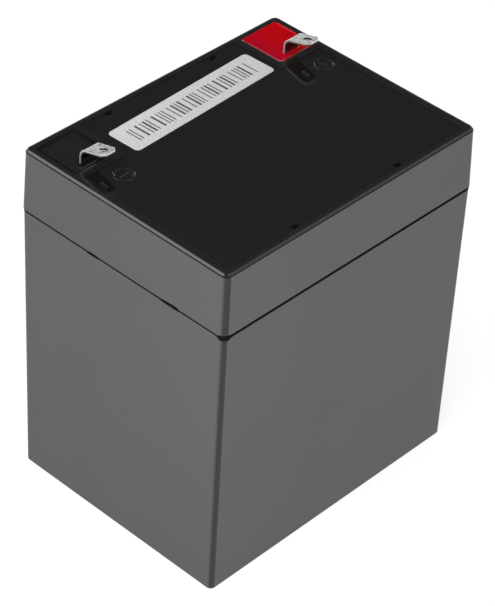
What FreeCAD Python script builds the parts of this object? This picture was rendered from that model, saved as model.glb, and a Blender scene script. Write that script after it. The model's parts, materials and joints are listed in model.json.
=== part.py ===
import FreeCAD, Part
import math
import os

# Sealed lead acid battery with absorbed electrolyte, 12 volt, six cells in one row.
# Sizes are in millimetres. +Z is up, X runs along the long side, Y along the short side.
# The origin is the middle of the container's underside. Both terminals stand near the +Y side,
# the negative one at -X and the positive one at +X.

# Case, over the container and the lid
case_length = 90.0
case_width = 70.0
case_height = 101.0
case_corner_radius = 1.8

# Container, a moulded jar with a wall between each two cells
cell_count = 6
inner_round_flats = 16
container_wall = 2.4
container_floor = 2.5
container_draft = 0.35
container_foot_bevel = 0.6
container_corner_radius = 1.55
partition_thickness = 1.3
cell_draft = 0.15

# Seam where the lid meets the container
lid_height = 18.1
lid_overhang = 0.2
seam_gap = 0.7
seam_recess_at_ends = 0.35
seam_recess_at_sides = 0.05
tongue_inset = 1.2
tongue_height = 4.05
joint_clearance = 0.3

# Lid, the moulded inner cover
lid_draft = 0.5
lid_lip_thickness = 1.1
deck_thickness = 2.0
cell_frame_depth = 3.4
cell_frame_wall = 1.1
rim_bevel_width = 0.65
rim_bevel_height = 0.4
rim_groove_height = 0.3
rim_groove_depth = 0.2

# Vent cover, the black plate that closes the gas space
rim_width_x = 3.0
rim_width_y = 2.2
cover_thickness = 1.8
cover_drop = 0.2
cover_clearance = 0.15
cover_ledge = 1.0
cover_corner_radius = 1.6
cover_edge_bevel = 0.12
cover_notch_width = 2.5
cover_notch_depth = 1.4
cover_notch_from_step = 8.85

# Vent necks and their rubber valve caps
vent_row_y = -6.0
neck_bore_radius = 1.6
neck_height = 6.5
cap_side_clearance = 0.275
cap_wall = 0.8
cap_top_thickness = 1.3
cap_skirt_gap = 1.2
cap_bead_height = 0.9
cap_bead_width = 0.35
stud_radius = 2.0
stud_clearance = 0.1

# Terminal wells in the two +Y corners of the lid
well_width = 14.3
well_corner_radius = 0.8
well_wall = 2.2
fill_drop = 0.55

# Terminal tabs, pressed from tinned sheet
tab_thickness = 0.8
tab_width = 4.75
tab_inner_radius = 2.1
tab_tilt = 15.5
tab_blade_length = 6.4
tab_rise = 6.2
tab_tip_cut_length = 1.2
tab_tip_cut_width = 0.95
tab_hole_width = 1.4
tab_hole_length = 2.4
tab_hole_from_tip = 2.6
tab_foot_width = 8.0
tab_foot_reach = 3.4
tab_leg_from_post = 4.5

# Lead posts and the rubber rings that seal them
post_radius = 2.3
post_hole_clearance = 0.2
post_head_radius = 3.3
post_head_height = 1.1
ring_section_width = 1.8
ring_section_height = 1.6
boss_wall = 1.1
boss_height = 2.2

# Plates, separators and straps inside each cell
mat_thickness = 0.8
negative_to_positive_thickness = 0.625
stack_clearance = 0.25
plate_side_margin = 1.1
separator_side_margin = 0.4
separator_head = 2.0
separator_fold_radius = 0.7
lug_width = 8.5
strap_width = 9.6
strap_thickness = 4.5
strap_overhang = 0.8
strap_clearance = 1.6
strap_head_room = 5.05
riser_thickness = 2.4
riser_height = 5.0
riser_clearance = 0.1
weld_radius = 2.75
weld_rise = 1.5
weld_clearance = 0.05

# Paper label on the vent cover
label_end_margin = 1.8
label_width = 10.45
label_thickness = 0.12
label_corner_radius = 1.2
label_turn = 2.1
label_x = 0.5
label_from_edge = 11.2

# Raised polarity marks on the vent cover
mark_ring_radius = 2.8
mark_line_width = 0.5
mark_rise = 0.2
mark_bar_length = 3.2
plus_mark_from_end = 4.5
minus_mark_from_end = 7.7
marks_from_step = 5.55

# Levels, from the underside up
seam_z = case_height - lid_height
shoulder_z = seam_z - seam_gap / 2
lid_bottom_z = seam_z + seam_gap / 2
tongue_top_z = shoulder_z + tongue_height
deck_bottom_z = tongue_top_z + joint_clearance
deck_top_z = deck_bottom_z + deck_thickness
frame_bottom_z = deck_bottom_z - cell_frame_depth
rim_groove_top_z = case_height - rim_bevel_height
rim_groove_bottom_z = rim_groove_top_z - rim_groove_height
cover_top_z = case_height - cover_drop
cover_bottom_z = cover_top_z - cover_thickness
neck_top_z = deck_top_z + neck_height
cap_top_z = neck_top_z + cap_top_thickness
boss_top_z = deck_top_z + boss_height
fill_top_z = case_height - fill_drop
strap_top_z = shoulder_z - strap_head_room
strap_bottom_z = strap_top_z - strap_thickness
separator_top_z = strap_bottom_z - strap_clearance
plate_top_z = separator_top_z - separator_head
weld_z = strap_top_z + weld_rise

# Plan sizes that follow from the case
container_length = case_length - 2 * lid_overhang
container_width = case_width - 2 * lid_overhang
cell_width = container_width - 2 * container_wall
cell_length = (container_length - 2 * container_wall - (cell_count - 1) * partition_thickness) / cell_count
cell_pitch = cell_length + partition_thickness
cell_centres = [cell_pitch * (i - (cell_count - 1) / 2) for i in range(cell_count)]
end_cell_x = cell_centres[-1]
rim_length = case_length - 2 * lid_draft
rim_depth = case_width - 2 * lid_draft
cover_length = rim_length - 2 * rim_width_x
cover_width = rim_depth - 2 * rim_width_y
well_outer_y = rim_depth / 2 - rim_width_y + cover_clearance
well_inner_y = well_outer_y - well_width
well_centre_y = (well_outer_y + well_inner_y) / 2
well_inner_x = end_cell_x - cell_length / 2
cover_step_x = well_inner_x - well_wall
cover_step_y = well_inner_y - well_wall
cover_notch_x = cover_step_x - cover_notch_from_step
post_y = well_centre_y
leg_y = post_y - tab_leg_from_post

# Vent necks: a capped neck in the end cell just clears the side of the gas space
gas_space_end_x = cover_length / 2 - cover_ledge
cap_bead_radius = gas_space_end_x - end_cell_x - cap_side_clearance
cap_radius = cap_bead_radius - cap_bead_width
neck_radius = cap_radius - cap_wall

# Label between the two wells, and polarity marks beside them
label_length = 2 * (cover_step_x - label_end_margin)
label_y = cover_width / 2 - label_from_edge
plus_mark_x = cover_length / 2 - plus_mark_from_end
minus_mark_x = minus_mark_from_end - cover_length / 2
marks_y = cover_step_y - marks_from_step

# Plates share what the glass mats leave of the stack, and a negative plate is the thinner
negatives_per_cell = 3
positives_per_cell = negatives_per_cell - 1
mats_per_cell = 2 * positives_per_cell
stack_length = cell_length - 2 * stack_clearance
plate_shares = positives_per_cell + negatives_per_cell * negative_to_positive_thickness
positive_plate_thickness = (stack_length - mats_per_cell * mat_thickness) / plate_shares
negative_plate_thickness = negative_to_positive_thickness * positive_plate_thickness


def rounded_outline(length, width, radius, z, x=0.0, y=0.0):
    """A closed rectangle with round corners, flat at height z, centred on x and y."""
    half_l = length / 2
    half_w = width / 2
    quarter_turn = math.pi / 2
    arcs = []
    for quarter, (sign_x, sign_y) in enumerate(((1, 1), (-1, 1), (-1, -1), (1, -1))):
        centre = FreeCAD.Vector(x + sign_x * (half_l - radius), y + sign_y * (half_w - radius), z)
        points = []
        for share in (0.0, 0.5, 1.0):
            angle = (quarter + share) * quarter_turn
            points.append(centre + FreeCAD.Vector(radius * math.cos(angle), radius * math.sin(angle), 0))
        arcs.append(points)
    edges = []
    for points, next_points in zip(arcs, arcs[1:] + arcs[:1]):
        edges.append(Part.Arc(*points).toShape())
        edges.append(Part.LineSegment(points[-1], next_points[0]).toShape())
    return Part.Wire(edges)


def slab(length, width, radius, z0, z1, x=0.0, y=0.0):
    """An upright block with round vertical corners."""
    face = Part.Face(rounded_outline(length, width, radius, z0, x, y))
    return face.extrude(FreeCAD.Vector(0, 0, z1 - z0))


def drafted_block(bottom, top, z0, z1, x=0.0, y=0.0):
    """A block whose plan (length, width, radius) changes evenly from z0 to z1."""
    wires = [rounded_outline(*bottom, z0, x, y), rounded_outline(*top, z1, x, y)]
    return Part.makeLoft(wires, True, True)


def box(x0, x1, y0, y1, z0, z1):
    return Part.makeBox(x1 - x0, y1 - y0, z1 - z0, FreeCAD.Vector(x0, y0, z0))


def centred_box(length, width, z0, z1, x=0.0, y=0.0):
    return box(x - length / 2, x + length / 2, y - width / 2, y + width / 2, z0, z1)


def centred_rectangle(length, width, z, x=0.0):
    """A flat rectangle with sharp corners, centred on x."""
    corners = [FreeCAD.Vector(x + sx * length / 2, sy * width / 2, z)
               for sx, sy in ((1, 1), (-1, 1), (-1, -1), (1, -1))]
    return Part.makePolygon(corners + [corners[0]])


def flatted_bar(radius, start, along):
    """A round bar in a few flats, for the small round things that repeat inside the case."""
    direction = FreeCAD.Vector(along)
    direction.normalize()
    turn = FreeCAD.Rotation(FreeCAD.Vector(0, 0, 1), direction)
    corners = []
    for i in range(inner_round_flats + 1):
        angle = 2 * math.pi * i / inner_round_flats
        spoke = FreeCAD.Vector(radius * math.cos(angle), radius * math.sin(angle), 0)
        corners.append(start + turn.multVec(spoke))
    corners[-1] = corners[0]
    return Part.Face(Part.makePolygon(corners)).extrude(along)


def flatted_upright(radius, z0, z1, x, y):
    return flatted_bar(radius, FreeCAD.Vector(x, y, z0), FreeCAD.Vector(0, 0, z1 - z0))


def upright_cylinder(radius, z0, z1, x, y):
    return Part.makeCylinder(radius, z1 - z0, FreeCAD.Vector(x, y, z0))


def revolve_profile(points, x, y):
    """A solid turned about the upright axis through x and y, from (radius, z) points."""
    corners = [FreeCAD.Vector(r, 0, z) for r, z in points]
    outline = Part.makePolygon(corners + [corners[0]])
    solid = Part.Face(outline).revolve(FreeCAD.Vector(0, 0, 0), FreeCAD.Vector(0, 0, 1), 360)
    solid.translate(FreeCAD.Vector(x, y, 0))
    return solid


def lid_inset_at(z):
    """How far the lid's side has drawn in at height z."""
    return lid_draft * (z - lid_bottom_z) / (case_height - lid_bottom_z)


def lid_plan(z, further=0.0):
    """Length, width and corner radius of the lid's outside at height z."""
    inset = lid_inset_at(z) + further
    return (case_length - 2 * inset, case_width - 2 * inset, case_corner_radius - further)


def strap_side(cell, positive):
    """+1 where a group's strap stands near +Y, -1 where it stands near -Y.

    The sides alternate, so each strap faces the opposite pole of the next cell,
    and the first negative and the last positive both come out at +Y."""
    cells_from_start = cell + (1 if positive else 0)
    return 1 if cells_from_start % 2 == 0 else -1


def container_plan(z, further=0.0):
    """Length, width and corner radius of the container's outside at height z."""
    inset = container_draft * (1 - z / shoulder_z) + further
    return (container_length - 2 * inset, container_width - 2 * inset, container_corner_radius - further)


def cell_pocket(centre):
    """The space of one cell: drafted walls up to the lid's frame and straight ones beside it."""
    straight = centred_box(cell_length, cell_width, frame_bottom_z, tongue_top_z, centre)
    low = centred_rectangle(cell_length - 2 * cell_draft, cell_width - 2 * cell_draft, container_floor,
                            centre)
    high = centred_rectangle(cell_length, cell_width, frame_bottom_z, centre)
    return Part.makeLoft([low, high], True, True).fuse(straight)


def make_container():
    body = drafted_block(container_plan(container_foot_bevel), container_plan(shoulder_z),
                         container_foot_bevel, shoulder_z)
    foot = drafted_block(container_plan(0.0, container_foot_bevel), container_plan(container_foot_bevel),
                         0.0, container_foot_bevel)
    tongue = slab(container_length - 2 * tongue_inset, container_width - 2 * tongue_inset,
                  container_corner_radius - tongue_inset, shoulder_z, tongue_top_z)
    body = body.fuse([foot, tongue])
    pockets = []
    for centre in cell_centres:
        pockets.append(cell_pocket(centre))
    for i in range(cell_count - 1):
        x0 = cell_centres[i] + cell_length / 2 - partition_thickness
        hole_start = FreeCAD.Vector(x0, strap_side(i, True) * post_y, weld_z)
        pockets.append(flatted_bar(weld_radius + weld_clearance, hole_start,
                                   FreeCAD.Vector(3 * partition_thickness, 0, 0)))
    return body.cut(pockets)


def cover_region(offset, z0, z1):
    """The vent cover's plan, grown by offset: a plate with its two +Y corners left out."""
    plate = slab(cover_length + 2 * offset, cover_width + 2 * offset, cover_corner_radius + offset, z0, z1)
    reach_x = case_length
    reach_y = case_width
    corners = []
    for side in (-1, 1):
        near = side * (cover_step_x + offset)
        far = side * reach_x
        corners.append(box(min(near, far), max(near, far), cover_step_y + offset, reach_y, z0, z1))
    return plate.cut(corners)


def well_pocket(side):
    """The open well of one terminal, from the deck to above the rim."""
    return slab(cell_length, well_width, well_corner_radius, deck_top_z, case_height + rim_bevel_height,
                side * end_cell_x, well_centre_y)


def lid_shell():
    """The lid's outside: drafted sides, a fine groove below the rim and a bevelled top edge."""
    sides = drafted_block(lid_plan(lid_bottom_z), lid_plan(rim_groove_bottom_z), lid_bottom_z,
                          rim_groove_bottom_z)
    neck = drafted_block(lid_plan(rim_groove_bottom_z, rim_groove_depth),
                         lid_plan(rim_groove_top_z, rim_groove_depth),
                         rim_groove_bottom_z, rim_groove_top_z)
    rim = drafted_block(lid_plan(rim_groove_top_z), lid_plan(case_height, rim_bevel_width),
                        rim_groove_top_z, case_height)
    return sides.fuse([neck, rim])


def make_lid():
    underside = slab(case_length - 2 * lid_lip_thickness, case_width - 2 * lid_lip_thickness,
                     case_corner_radius - lid_lip_thickness, lid_bottom_z, deck_bottom_z)
    hollows = [underside, cover_region(cover_clearance, cover_bottom_z, case_height)]
    chamber = cover_region(-cover_ledge, deck_top_z, cover_bottom_z)
    hollows.append(chamber)
    for side in (-1, 1):
        hollows.append(well_pocket(side))
    lid = lid_shell().cut(hollows)
    added = []
    bores = []
    for centre in cell_centres:
        frame_length = cell_length - 2 * joint_clearance
        frame_width = cell_width - 2 * joint_clearance
        frame = centred_box(frame_length, frame_width, frame_bottom_z, deck_bottom_z, centre)
        inside = centred_box(frame_length - 2 * cell_frame_wall, frame_width - 2 * cell_frame_wall,
                             frame_bottom_z, deck_bottom_z, centre)
        added.append(frame.cut(inside))
        added.append(flatted_upright(neck_radius, deck_top_z, neck_top_z, centre, vent_row_y))
        bores.append(flatted_upright(neck_bore_radius, deck_bottom_z, neck_top_z, centre, vent_row_y))
    seat_radius = post_radius + ring_section_width
    for side in (-1, 1):
        x = side * end_cell_x
        added.append(flatted_upright(seat_radius + boss_wall, deck_top_z, boss_top_z, x, post_y))
        bores.append(upright_cylinder(seat_radius, boss_top_z - ring_section_height, boss_top_z, x, post_y))
        bores.append(upright_cylinder(post_radius + post_hole_clearance, deck_bottom_z, boss_top_z, x,
                                      post_y))
    return lid.fuse(added).cut(bores)


def make_seam_epoxy(container, lid):
    """The black resin in the lid's grooves, from the seam line to above the container's tongue.

    What was pressed out stands almost flush along the two sides and lies deeper at the two ends."""
    shown = slab(case_length - 2 * seam_recess_at_ends, case_width - 2 * seam_recess_at_sides,
                 case_corner_radius - seam_recess_at_ends, shoulder_z, lid_bottom_z)
    hidden = slab(case_length - 2 * lid_lip_thickness, case_width - 2 * lid_lip_thickness,
                  case_corner_radius - lid_lip_thickness, lid_bottom_z, deck_bottom_z)
    blank = shown.fuse(hidden)
    for centre in cell_centres:
        frame_length = cell_length - 2 * joint_clearance
        frame_width = cell_width - 2 * joint_clearance
        blank = blank.cut(centred_box(frame_length, frame_width, frame_bottom_z, deck_bottom_z, centre))
        blank = blank.cut(centred_box(cell_length, cell_width, shoulder_z, frame_bottom_z, centre))
    return blank.cut(container).cut(lid)


def make_vent_cover():
    plate = cover_region(0.0, cover_bottom_z, cover_top_z)
    top_edges = [e for e in plate.Edges if e.BoundBox.ZMin > cover_top_z - cover_edge_bevel / 2]
    plate = plate.makeChamfer(cover_edge_bevel, top_edges)
    notches = []
    for side_x in (-1, 1):
        for side_y in (-1, 1):
            notches.append(centred_box(cover_notch_width, 2 * cover_notch_depth, cover_bottom_z, cover_top_z,
                                       side_x * cover_notch_x, side_y * cover_width / 2))
    studs = []
    for centre in cell_centres:
        studs.append(flatted_upright(stud_radius, cap_top_z + stud_clearance, cover_bottom_z, centre,
                                     vent_row_y))
    return plate.cut(notches).fuse(studs + [polarity_mark(plus_mark_x, True),
                                            polarity_mark(minus_mark_x, False)])


def polarity_mark(x, positive):
    """A raised ring with a bar in it, and a second bar across where the pole is positive."""
    top_z = cover_top_z + mark_rise
    ring = upright_cylinder(mark_ring_radius, cover_top_z, top_z, x, marks_y)
    ring = ring.cut(upright_cylinder(mark_ring_radius - mark_line_width, cover_top_z, top_z, x, marks_y))
    half_l = mark_bar_length / 2
    half_w = mark_line_width / 2
    bars = [box(x - half_l, x + half_l, marks_y - half_w, marks_y + half_w, cover_top_z, top_z)]
    if positive:
        bars.append(box(x - half_w, x + half_w, marks_y - half_l, marks_y + half_l, cover_top_z, top_z))
    mark = bars[0]
    for bar in bars[1:]:
        mark = mark.fuse(bar)
    return Part.makeCompound([ring, mark])


def make_valve_cap(centre):
    """A soft cap over the neck: a skirt with a bead at its mouth and a flat lid."""
    skirt_bottom = deck_top_z + cap_skirt_gap
    cap = flatted_upright(cap_radius, skirt_bottom, cap_top_z, centre, vent_row_y)
    bead = flatted_upright(cap_bead_radius, skirt_bottom, skirt_bottom + cap_bead_height, centre, vent_row_y)
    return cap.fuse(bead).cut(flatted_upright(neck_radius, skirt_bottom, neck_top_z, centre, vent_row_y))


def sheet_strip(path_points, width, x):
    """Sheet of tab_thickness extruded to width along X, from its closed outline in Y and Z."""
    face = Part.Face(Part.Wire(path_points))
    face.translate(FreeCAD.Vector(x - width / 2, 0, 0))
    return face.extrude(FreeCAD.Vector(width, 0, 0))


def tab_profile():
    """Outline of the bent sheet in Y and Z: foot, leg, bend and tilted blade."""
    bend_z = case_height + tab_rise - tab_bend_height()
    outer_radius = tab_inner_radius + tab_thickness
    front_y = leg_y - tab_thickness / 2
    back_y = leg_y + tab_thickness / 2
    centre_y = front_y - tab_inner_radius
    tilt = math.radians(tab_tilt)
    along = FreeCAD.Vector(0, -math.cos(tilt), math.sin(tilt))
    away = FreeCAD.Vector(0, math.sin(tilt), math.cos(tilt))
    centre = FreeCAD.Vector(0, centre_y, bend_z)
    foot_top = boss_top_z + tab_thickness

    def around(radius, degrees):
        angle = math.radians(degrees)
        return centre + FreeCAD.Vector(0, radius * math.cos(angle), radius * math.sin(angle))

    turn = 90.0 - tab_tilt
    inner_start = FreeCAD.Vector(0, front_y, bend_z)
    outer_start = FreeCAD.Vector(0, back_y, bend_z)
    inner_end = centre + away * tab_inner_radius
    outer_end = centre + away * outer_radius
    inner_tip = inner_end + along * tab_blade_length
    outer_tip = outer_end + along * tab_blade_length
    foot_end = post_y + tab_foot_reach
    foot_front = FreeCAD.Vector(0, front_y, boss_top_z)
    foot_under = FreeCAD.Vector(0, foot_end, boss_top_z)
    foot_over = FreeCAD.Vector(0, foot_end, foot_top)
    foot_inside = FreeCAD.Vector(0, back_y, foot_top)
    segments = [Part.LineSegment(foot_front, foot_under),
                Part.LineSegment(foot_under, foot_over),
                Part.LineSegment(foot_over, foot_inside),
                Part.LineSegment(foot_inside, outer_start),
                Part.Arc(outer_start, around(outer_radius, turn / 2), outer_end),
                Part.LineSegment(outer_end, outer_tip),
                Part.LineSegment(outer_tip, inner_tip),
                Part.LineSegment(inner_tip, inner_end),
                Part.Arc(inner_end, around(tab_inner_radius, turn / 2), inner_start),
                Part.LineSegment(inner_start, foot_front)]
    return [s.toShape() for s in segments]


def tab_bend_height():
    """Height of the blade's highest point over the level where the leg starts to bend."""
    tilt = math.radians(tab_tilt)
    outer_radius = tab_inner_radius + tab_thickness
    return outer_radius * math.cos(tilt) + tab_blade_length * math.sin(tilt)


def make_tab(side):
    x = side * end_cell_x
    tab = sheet_strip(tab_profile(), tab_width, x)
    foot_front_y = leg_y + tab_thickness / 2
    foot_length = post_y + tab_foot_reach - foot_front_y
    foot = centred_box(tab_foot_width, foot_length, boss_top_z, boss_top_z + tab_thickness, x,
                       foot_front_y + foot_length / 2)
    tab = tab.fuse(foot)
    cuts = [upright_cylinder(post_radius, boss_top_z, boss_top_z + tab_thickness, x, post_y)]
    cuts += tab_tip_cuts(x)
    cuts.append(tab_hole(x))
    return tab.cut(cuts)


def blade_placement(x):
    """Places a shape drawn with its length from the tip inward along +Y onto the tilted blade."""
    tilt = math.radians(tab_tilt)
    bend_z = case_height + tab_rise - tab_bend_height()
    centre_y = leg_y - tab_thickness / 2 - tab_inner_radius
    middle_radius = tab_inner_radius + tab_thickness / 2
    tip_y = centre_y + middle_radius * math.sin(tilt) - tab_blade_length * math.cos(tilt)
    tip_z = bend_z + middle_radius * math.cos(tilt) + tab_blade_length * math.sin(tilt)
    turn = FreeCAD.Rotation(FreeCAD.Vector(1, 0, 0), -tab_tilt)
    return FreeCAD.Placement(FreeCAD.Vector(x, tip_y, tip_z), turn)


def tab_tip_cuts(x):
    """Two wedges that take the corners off the blade's tip."""
    cuts = []
    for side in (-1, 1):
        corner = FreeCAD.Vector(side * tab_width / 2, 0, -tab_thickness)
        points = [corner,
                  corner + FreeCAD.Vector(-side * tab_tip_cut_width, 0, 0),
                  corner + FreeCAD.Vector(0, tab_tip_cut_length, 0),
                  corner]
        wedge = Part.Face(Part.makePolygon(points)).extrude(FreeCAD.Vector(0, 0, 2 * tab_thickness))
        wedge.Placement = blade_placement(x)
        cuts.append(wedge)
    return cuts


def tab_hole(x):
    """The short round-ended slot in the blade that a receptacle's dimple snaps into."""
    radius = tab_hole_width / 2
    half_run = tab_hole_length / 2 - radius
    near_y = tab_hole_from_tip - half_run
    far_y = tab_hole_from_tip + half_run
    hole = box(-radius, radius, near_y, far_y, -tab_thickness, tab_thickness)
    for y in (near_y, far_y):
        hole = hole.fuse(upright_cylinder(radius, -tab_thickness, tab_thickness, 0.0, y))
    hole = hole.removeSplitter()
    hole.Placement = blade_placement(x)
    return hole


def make_post(side):
    """The lead pole from the end cell's strap to its riveted head over the tab's foot."""
    x = side * end_cell_x
    head_z = boss_top_z + tab_thickness
    profile = [(0.0, strap_top_z), (post_radius, strap_top_z), (post_radius, head_z),
               (post_head_radius, head_z), (post_head_radius, head_z + post_head_height),
               (0.0, head_z + post_head_height)]
    return revolve_profile(profile, x, post_y)


def make_post_ring(side):
    """The rubber ring that seals the post, pressed square between post, seat and foot."""
    ring = upright_cylinder(post_radius + ring_section_width, boss_top_z - ring_section_height, boss_top_z,
                            side * end_cell_x, post_y)
    return ring.cut(upright_cylinder(post_radius, boss_top_z - ring_section_height, boss_top_z,
                                     side * end_cell_x, post_y))


def make_terminal_fill(side, tab, post):
    """Poured resin that fills the well round the ring's boss, the post and the tab's leg."""
    x = side * end_cell_x
    fill = slab(cell_length, well_width, well_corner_radius, deck_top_z, fill_top_z, x, well_centre_y)
    boss = flatted_upright(post_radius + ring_section_width + boss_wall, deck_top_z, boss_top_z, x, post_y)
    return fill.cut([boss, tab, post])


def plate_sheet(x0, thickness, bottom_z, lug_y):
    """One pasted plate with the lug that carries it up to its strap."""
    width = cell_width - 2 * plate_side_margin
    plate = box(x0, x0 + thickness, -width / 2, width / 2, bottom_z, plate_top_z)
    lug = box(x0, x0 + thickness, lug_y - lug_width / 2, lug_y + lug_width / 2, plate_top_z, strap_bottom_z)
    return plate.fuse(lug)


def plate_starts(centre):
    """Left faces of the cell's plates in order, negative first and last, as (x, positive)."""
    starts = []
    x = centre - stack_length / 2
    for i in range(negatives_per_cell + positives_per_cell):
        positive = i % 2 == 1
        starts.append((x, positive))
        x += (positive_plate_thickness if positive else negative_plate_thickness) + mat_thickness
    return starts


def riser_and_weld(wall_x, middle_x, lug_y):
    """The upright of a strap beside the cell wall, and its half of the weld through the wall."""
    towards = 1 if middle_x > wall_x else -1
    riser_x = wall_x - towards * riser_thickness
    riser = box(min(wall_x, riser_x), max(wall_x, riser_x), lug_y - strap_width / 2, lug_y + strap_width / 2,
                strap_bottom_z, strap_top_z + riser_height)
    weld = flatted_bar(weld_radius, FreeCAD.Vector(min(middle_x, wall_x), lug_y, weld_z),
                       FreeCAD.Vector(abs(middle_x - wall_x), 0, 0))
    return [riser, weld]


def make_plate_group(cell, positive):
    """Plates of one pole in one cell, with the strap cast over their lugs.

    Positive straps reach towards +X and negative ones towards -X, where a weld through the
    cell wall joins them to the next cell. The two end straps carry the posts instead."""
    centre = cell_centres[cell]
    thickness = positive_plate_thickness if positive else negative_plate_thickness
    bottom_z = container_floor + (mat_thickness if positive else 0.0)
    lug_y = strap_side(cell, positive) * post_y
    starts = [x for x, is_positive in plate_starts(centre) if is_positive == positive]
    overhang = strap_overhang if positive else 0.0
    strap_x0 = starts[0] - overhang
    strap_x1 = starts[-1] + thickness + overhang
    pieces = [plate_sheet(x, thickness, bottom_z, lug_y) for x in starts]
    towards = 1 if positive else -1
    if 0 <= cell + towards < cell_count:
        wall_x = centre + towards * (cell_length / 2 - cell_draft - riser_clearance)
        pieces += riser_and_weld(wall_x, centre + towards * cell_pitch / 2, lug_y)
        strap_x0 = min(strap_x0, wall_x)
        strap_x1 = max(strap_x1, wall_x)
    strap = centred_box(strap_x1 - strap_x0, strap_width, strap_bottom_z, strap_top_z,
                        (strap_x0 + strap_x1) / 2, lug_y)
    return strap.fuse(pieces).removeSplitter()


def make_separator(cell, index):
    """A glass mat folded under one positive plate and up both its sides."""
    positives = [x for x, is_positive in plate_starts(cell_centres[cell]) if is_positive]
    x0 = positives[index] - mat_thickness
    x1 = positives[index] + positive_plate_thickness + mat_thickness
    width = cell_width - 2 * separator_side_margin
    outer = box(x0, x1, -width / 2, width / 2, container_floor, separator_top_z)
    fold_edges = [e for e in outer.Edges
                  if e.BoundBox.ZMax < container_floor + mat_thickness / 2 and e.BoundBox.YLength > width / 2]
    outer = outer.makeFillet(separator_fold_radius, fold_edges)
    inner = box(x0 + mat_thickness, x1 - mat_thickness, -width / 2, width / 2,
                container_floor + mat_thickness, separator_top_z)
    return outer.cut(inner)


def make_label():
    label = slab(label_length, label_width, label_corner_radius, cover_top_z, cover_top_z + label_thickness)
    label.rotate(FreeCAD.Vector(0, 0, 0), FreeCAD.Vector(0, 0, 1), label_turn)
    label.translate(FreeCAD.Vector(label_x, label_y, 0))
    return label


def build_nodes():
    """Every piece of the battery by the name of its node."""
    nodes = {}
    nodes["container"] = make_container()
    nodes["lid"] = make_lid()
    nodes["seam_epoxy"] = make_seam_epoxy(nodes["container"], nodes["lid"])
    nodes["vent_cover"] = make_vent_cover()
    nodes["label"] = make_label()
    for cell, centre in enumerate(cell_centres):
        number = cell + 1
        nodes[f"valve_cap_{number}"] = make_valve_cap(centre)
        nodes[f"positive_plates_{number}"] = make_plate_group(cell, True)
        nodes[f"negative_plates_{number}"] = make_plate_group(cell, False)
        for index in range(positives_per_cell):
            nodes[f"glass_mat_{number}_{index + 1}"] = make_separator(cell, index)
    for name, side in (("negative", -1), ("positive", 1)):
        tab = make_tab(side)
        post = make_post(side)
        ring = make_post_ring(side)
        nodes[f"{name}_tab"] = tab
        nodes[f"{name}_post"] = post
        nodes[f"{name}_post_ring"] = ring
        nodes[f"{name}_fill"] = make_terminal_fill(side, tab, post)
    return nodes


os.makedirs("parts", exist_ok=True)
for node_name, shape in build_nodes().items():
    if len(shape.Solids) == 1:
        shape = shape.Solids[0]
    shape.exportStep(f"parts/{node_name}.step")
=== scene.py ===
# %% [markdown]
# A sealed lead acid battery in a studio.
# The block is a moulded container with a lid, a flat cover over the vents, two terminal wells
# filled with poured resin, and a bent push-on tab in each well. It could all be modelled here, but
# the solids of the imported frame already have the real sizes, so this script only dresses them:
# finishes, softened edges, the film of resin that climbs the well walls, and the label's bars.
# Lengths are in metres. +Z is up, and the positive tab is at +X.

import json
import math

import bmesh
import bpy
from mathutils import Matrix, Vector


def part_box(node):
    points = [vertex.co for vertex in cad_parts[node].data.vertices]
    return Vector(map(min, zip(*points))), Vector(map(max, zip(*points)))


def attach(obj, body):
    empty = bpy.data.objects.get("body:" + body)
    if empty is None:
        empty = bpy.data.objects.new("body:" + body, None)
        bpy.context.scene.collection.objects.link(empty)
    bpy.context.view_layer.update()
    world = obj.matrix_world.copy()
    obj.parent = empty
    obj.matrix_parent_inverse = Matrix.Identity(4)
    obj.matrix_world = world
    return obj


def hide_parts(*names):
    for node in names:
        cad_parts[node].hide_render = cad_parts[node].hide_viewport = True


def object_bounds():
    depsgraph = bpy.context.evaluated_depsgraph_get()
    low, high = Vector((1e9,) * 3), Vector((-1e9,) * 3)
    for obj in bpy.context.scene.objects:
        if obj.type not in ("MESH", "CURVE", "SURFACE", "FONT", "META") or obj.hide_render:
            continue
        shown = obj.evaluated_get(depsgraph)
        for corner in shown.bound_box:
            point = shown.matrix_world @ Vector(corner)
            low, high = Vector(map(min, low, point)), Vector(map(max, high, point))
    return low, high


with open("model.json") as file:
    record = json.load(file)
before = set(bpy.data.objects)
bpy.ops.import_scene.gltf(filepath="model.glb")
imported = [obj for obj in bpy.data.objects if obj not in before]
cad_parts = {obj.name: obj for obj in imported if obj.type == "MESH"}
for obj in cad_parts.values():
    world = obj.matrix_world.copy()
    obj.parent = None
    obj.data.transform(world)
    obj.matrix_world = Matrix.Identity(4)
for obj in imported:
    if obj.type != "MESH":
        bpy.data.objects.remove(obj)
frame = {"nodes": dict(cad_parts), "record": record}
nodes = frame["nodes"]
cad_low, cad_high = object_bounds()
cad_lid_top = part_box("lid")[1].z
mm = 0.001
print("nodes", len(nodes), "box in mm", [round(v / mm, 2) for v in (*cad_low, *cad_high)])

# %% [markdown]
# The camera stands where the photographer stood.
# A long lens far away flattens the block, so its upright edges come out nearly parallel. Such a
# camera could be set by eye. Here its angle, distance and focal length were worked out from the
# block's known size and the directions of its edges, because an angle that is right makes every
# size in the picture comparable. The camera's own axes are the columns of a matrix: right, up and
# backward, with a small roll about the line of sight.

# %% Camera
image_width = 495
image_height = 606
sensor_width = 36.0
focal_length_pixels = 2679.8
view_azimuth = math.radians(-48.22)
view_elevation = math.radians(38.65)
view_roll = math.radians(3.35)
view_distance = 694.1 * mm
view_target = Vector((3.46, 1.55, 46.16)) * mm


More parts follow.
